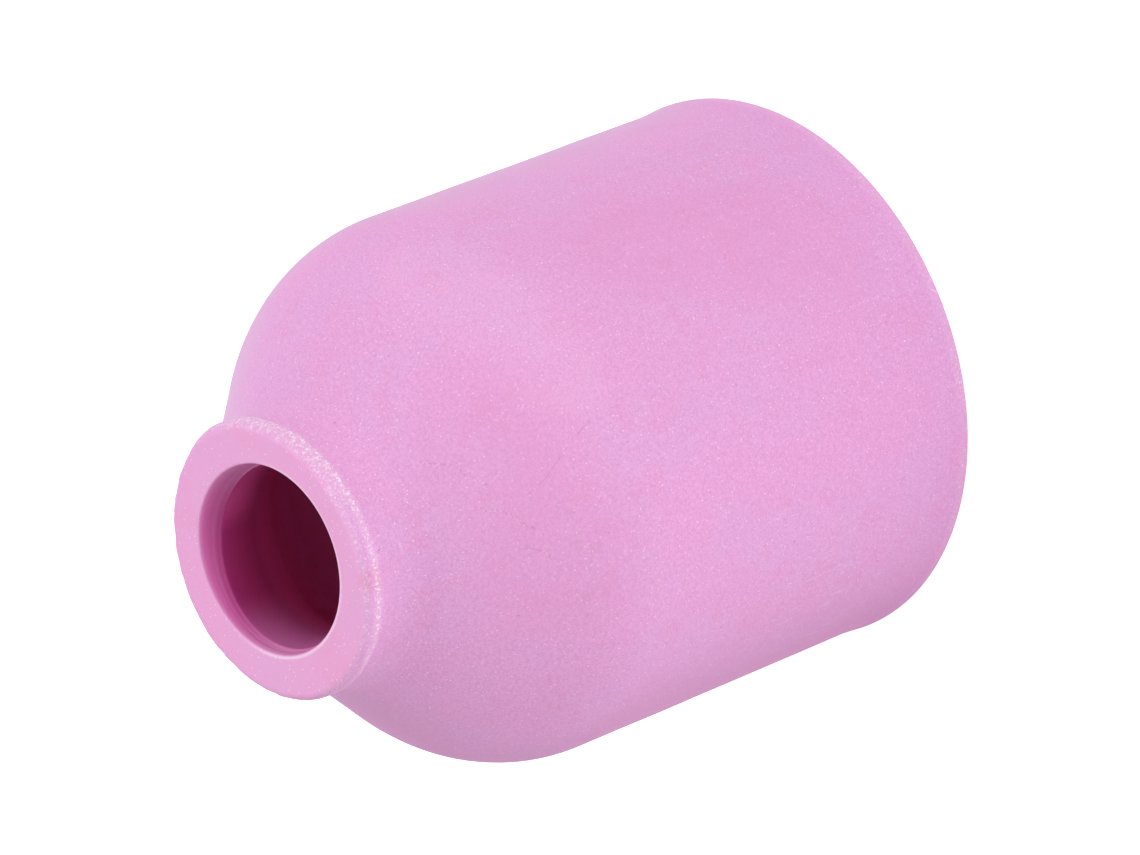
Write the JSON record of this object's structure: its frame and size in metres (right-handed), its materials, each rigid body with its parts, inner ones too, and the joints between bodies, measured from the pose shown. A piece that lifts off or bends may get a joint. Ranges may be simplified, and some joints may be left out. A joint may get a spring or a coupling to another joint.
{
  "type": "gas cup for a tig welding torch",
  "caption": "Short bell-shaped gas cup of pink alumina with a lipped mouth, a waisted neck, a round shoulder and a wide threaded rear socket.",
  "frame": {"origin": "the centre of the rear face, which seats against the torch, with the cup standing on it", "axes": "+Z runs along the cup's axis from the torch end up to the lip, +X and +Y lie in the rear face"},
  "size_m": [0.029, 0.029, 0.035],
  "materials": {
    "alumina": "unglazed sintered pink alumina, fine-grained and matt"
  },
  "bodies": {
    "root": {"ceramic_cup": "alumina"}
  },
  "joints": []
}
